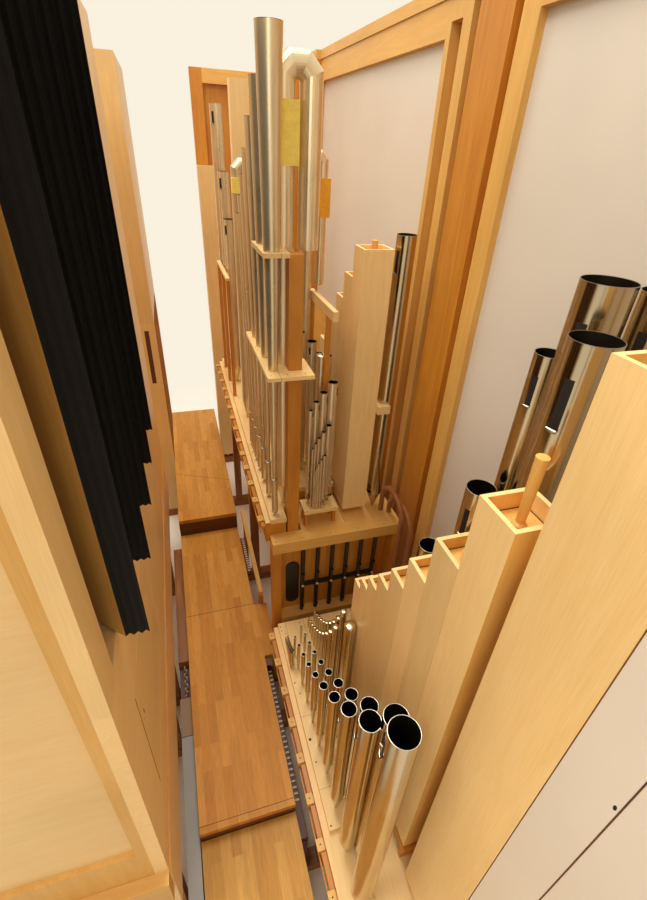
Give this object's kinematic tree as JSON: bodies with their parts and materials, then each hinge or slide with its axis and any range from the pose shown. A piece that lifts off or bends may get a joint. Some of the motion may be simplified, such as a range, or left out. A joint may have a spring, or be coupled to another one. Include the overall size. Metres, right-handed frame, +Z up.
{
  "type": "pipe organ interior with walkway, wind chests, pipes and swell shutters",
  "caption": "Pipe organ seen from inside its case: stepped walkway between a swell box with upright shutters and raised divisions of metal and wood pipes.",
  "frame": {"origin": "on the underside of the front sill, below the middle of the walkway", "axes": "+X to the right across the walkway, +Y along the walkway from the near end, +Z up"},
  "size_m": [3.16, 6.55, 4.97],
  "materials": {
    "maple": "oiled",
    "oak_floor": "varnished",
    "pine": "waxed",
    "brown_wood": "varnished",
    "white_panel": "matt white paint",
    "pipe_metal": "polished tin and lead alloy",
    "black_felt": "matt black felt and paint",
    "black_roller": "satin black",
    "hose": "matt ribbed hose",
    "yellow_felt": "matte"
  },
  "bodies": {
    "organ": {"base_sills": "brown_wood", "base_legs": "brown_wood", "base_bearers": "brown_wood", "walkboards": "oak_floor", "walk_risers": "maple", "side_landing": "oak_floor", "side_trunks": "brown_wood", "far_trunk": "pine", "far_trunk_board": "pine", "case_posts": "maple", "case_stiles": "maple", "case_crossrails": "maple", "case_cornice": "maple", "white_panels": "white_panel", "portal_posts": "maple", "portal_rails": "maple", "end_panel": "brown_wood", "swell_front_wall": "maple", "swell_front_stiles": "maple", "swell_front_header": "maple", "swell_pivot_boards": "maple", "swell_access_door": "pine", "swell_near_wall": "maple", "swell_back_wall": "maple", "swell_far_wall": "maple", "swell_inner_boards": "maple", "near_chest": "brown_wood", "near_toeboard": "pine", "far_chest": "brown_wood", "far_toeboard": "pine", "chest_clamps": "pine", "near_principals": "pipe_metal", "near_small_pipes": "pipe_metal", "near_wood_bench": "brown_wood", "wood_pipes": "pine", "pipe_stoppers": "pine", "bass_pipes": "pipe_metal", "roller_posts": "maple", "roller_beams": "maple", "action_panel": "maple", "action_rollers": "black_roller", "rear_planks": "maple", "far_reeds": "pipe_metal", "far_principals": "pipe_metal", "mitred_pipes": "pipe_metal", "pipe_pads": "yellow_felt", "rack_boards": "pine", "rack_posts": "maple", "wind_hoses": "hose"},
    "shutter_1": {"swell_shutter_1": "black_felt"},
    "shutter_2": {"swell_shutter_2": "black_felt"},
    "shutter_3": {"swell_shutter_3": "black_felt"},
    "shutter_4": {"swell_shutter_4": "black_felt"},
    "shutter_5": {"swell_shutter_5": "black_felt"}
  },
  "joints": [
    {"name": "shutter_1_pivot", "type": "hinge", "parent": "organ", "child": "shutter_1", "pos_m": [-0.466, 1.419, 3.755], "axis": [0, 0, 1], "range_deg": [-48, 32]},
    {"name": "shutter_2_pivot", "type": "hinge", "parent": "organ", "child": "shutter_2", "pos_m": [-0.466, 1.786, 3.755], "axis": [0, 0, 1], "range_deg": [-48, 32]},
    {"name": "shutter_3_pivot", "type": "hinge", "parent": "organ", "child": "shutter_3", "pos_m": [-0.466, 2.153, 3.755], "axis": [0, 0, 1], "range_deg": [-48, 32]},
    {"name": "shutter_4_pivot", "type": "hinge", "parent": "organ", "child": "shutter_4", "pos_m": [-0.466, 2.52, 3.755], "axis": [0, 0, 1], "range_deg": [-48, 32]},
    {"name": "shutter_5_pivot", "type": "hinge", "parent": "organ", "child": "shutter_5", "pos_m": [-0.466, 2.887, 3.755], "axis": [0, 0, 1], "range_deg": [-48, 32]}
  ],
  "couplings": [
    {"joint": "shutter_2_pivot", "follows": "shutter_1_pivot", "ratio": 1},
    {"joint": "shutter_3_pivot", "follows": "shutter_1_pivot", "ratio": 1},
    {"joint": "shutter_4_pivot", "follows": "shutter_1_pivot", "ratio": 1},
    {"joint": "shutter_5_pivot", "follows": "shutter_1_pivot", "ratio": 1}
  ]
}
